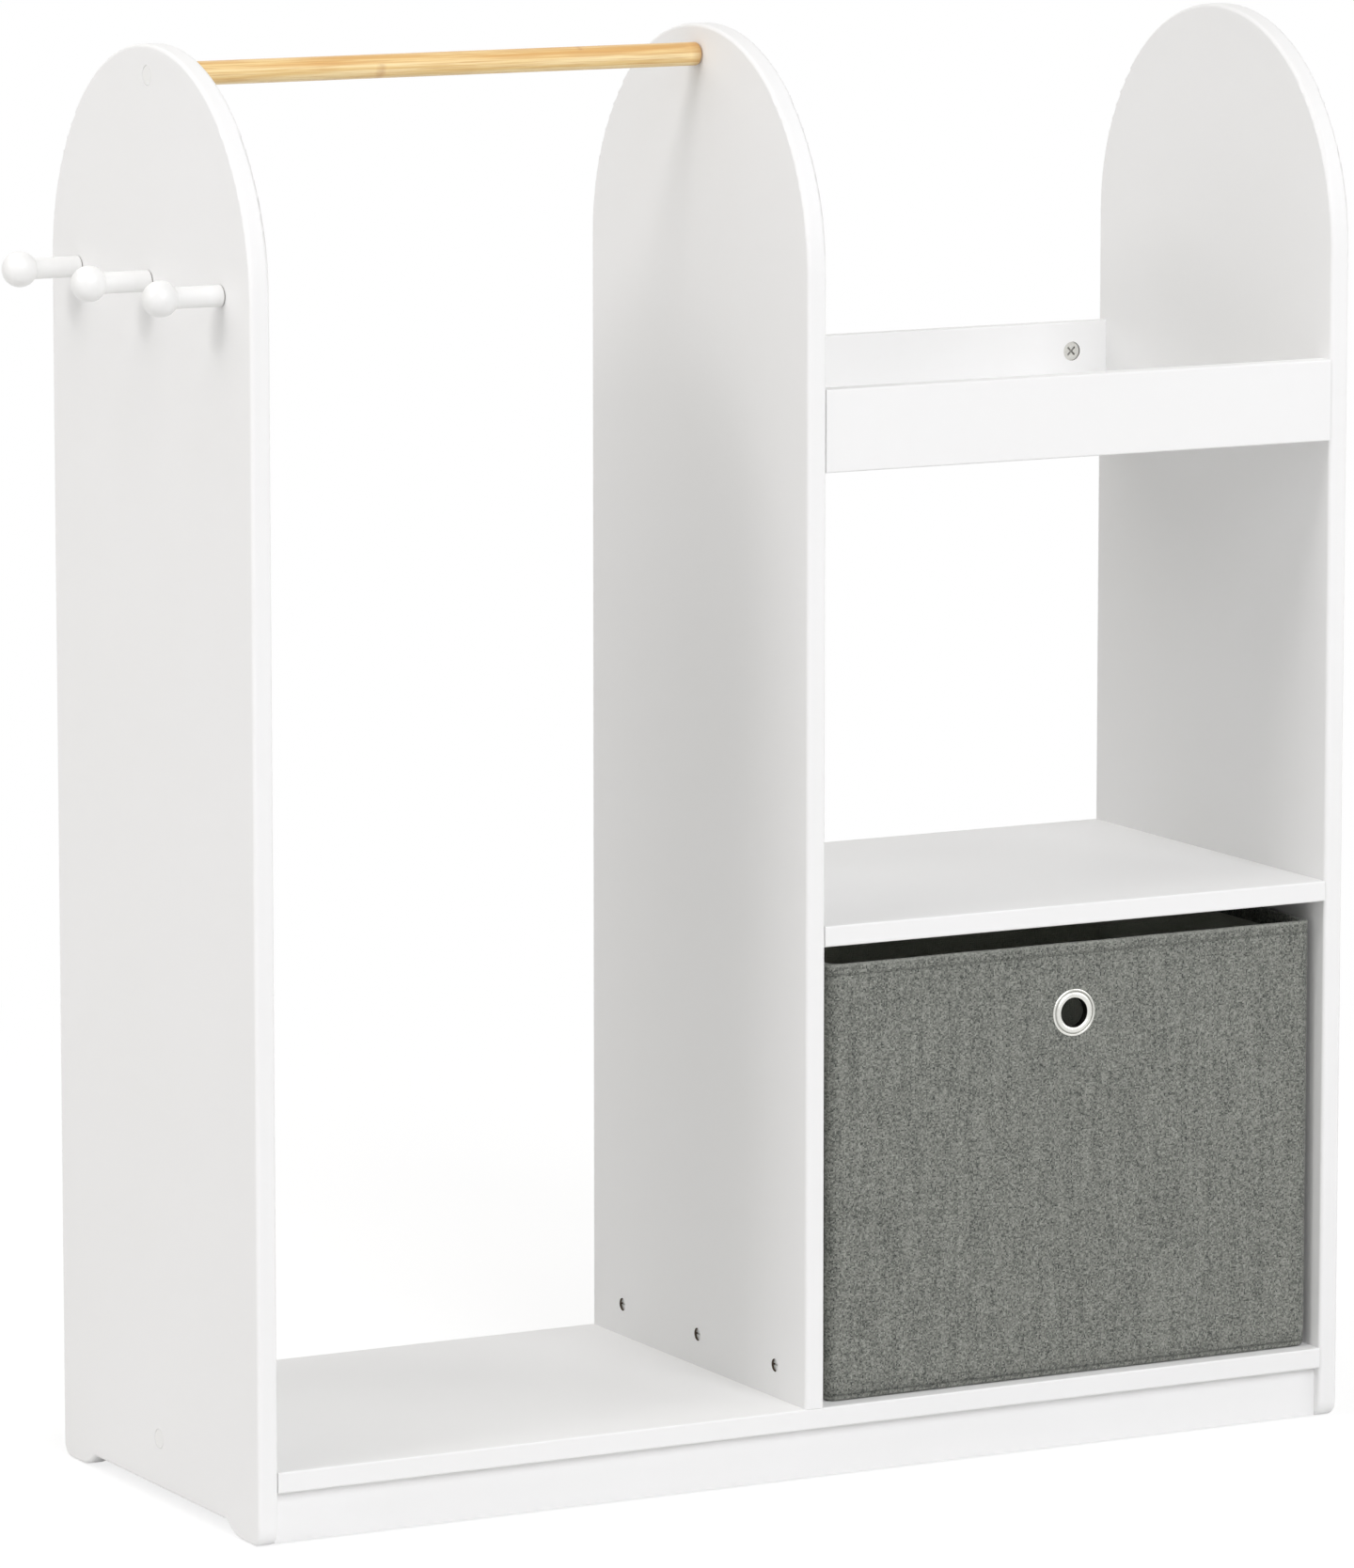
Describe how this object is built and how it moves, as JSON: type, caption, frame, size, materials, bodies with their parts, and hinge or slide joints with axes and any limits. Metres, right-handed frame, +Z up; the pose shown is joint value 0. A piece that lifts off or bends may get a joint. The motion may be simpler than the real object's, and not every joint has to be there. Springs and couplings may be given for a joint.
{
  "type": "kids wardrobe",
  "caption": "Open wardrobe for children with round-topped panels, a hanging rod, side pegs, shelves with a top tray, and a fabric box that pulls out.",
  "frame": {"origin": "on the floor, under the middle of the whole width (pegs included) and of the depth", "axes": "+Z up, the front faces -Y, +X to the right as seen from the front"},
  "size_m": [1, 0.35, 1.1],
  "materials": {
    "white_board": "fibreboard under satin white lacquer",
    "bamboo": "clear varnished bamboo with fine lengthwise grain",
    "white_peg": "turned wood under satin white paint",
    "cap_plastic": "matte white",
    "cast_zinc": "bare cast zinc",
    "plated_steel": "zinc-plated steel",
    "beech_dowel": "bare fluted beech",
    "grey_fabric": "mottled grey linen-look weave",
    "grey_lining": "pale grey non-woven lining",
    "stiff_card": "grey-brown board",
    "insert_card": "board covered in pale grey non-woven cloth",
    "eyelet_metal": "nickel-plated, bright"
  },
  "bodies": {
    "carcass": {"left_side_panel": "white_board", "middle_panel": "white_board", "right_side_panel": "white_board", "bottom_board": "white_board", "front_plinth": "white_board", "rear_plinth": "white_board", "shelf": "white_board", "top_shelf": "white_board", "top_front_apron": "white_board", "top_back_rail": "white_board", "hanging_rod": "bamboo", "coat_peg_front": "white_peg", "coat_peg_middle": "white_peg", "coat_peg_rear": "white_peg", "hanging_rod_caps": "cap_plastic", "bottom_board_caps": "cap_plastic", "shelf_cams": "cast_zinc", "top_shelf_cams": "cast_zinc", "apron_cams": "cast_zinc", "back_rail_cams": "cast_zinc", "coat_peg_screws": "plated_steel", "hanging_rod_screws": "plated_steel", "bottom_board_screws": "plated_steel", "barrel_bolts": "plated_steel", "barrel_nuts": "plated_steel", "shelf_cam_dowels": "plated_steel", "top_shelf_cam_dowels": "plated_steel", "apron_cam_dowels": "plated_steel", "back_rail_cam_dowels": "plated_steel", "bottom_board_dowels": "beech_dowel", "front_plinth_dowels": "beech_dowel", "rear_plinth_dowels": "beech_dowel", "shelf_dowels": "beech_dowel", "top_shelf_dowels": "beech_dowel", "apron_dowels": "beech_dowel", "back_rail_dowels": "beech_dowel"},
    "fabric_box": {"box_cover": "grey_fabric", "box_lining": "grey_lining", "box_front_stiffener": "stiff_card", "box_back_stiffener": "stiff_card", "box_left_stiffener": "stiff_card", "box_right_stiffener": "stiff_card", "box_eyelet_ring": "eyelet_metal", "box_eyelet_washer": "eyelet_metal"},
    "base_insert": {"box_base_insert": "insert_card"}
  },
  "joints": [
    {"name": "box_pull_out", "type": "slide", "parent": "carcass", "child": "fabric_box", "axis": [0, -1, 0], "range_m": [0, 0.36]},
    {"name": "insert_lift", "type": "slide", "parent": "fabric_box", "child": "base_insert", "axis": [0, 0, 1], "range_m": [0, 0.34]}
  ]
}
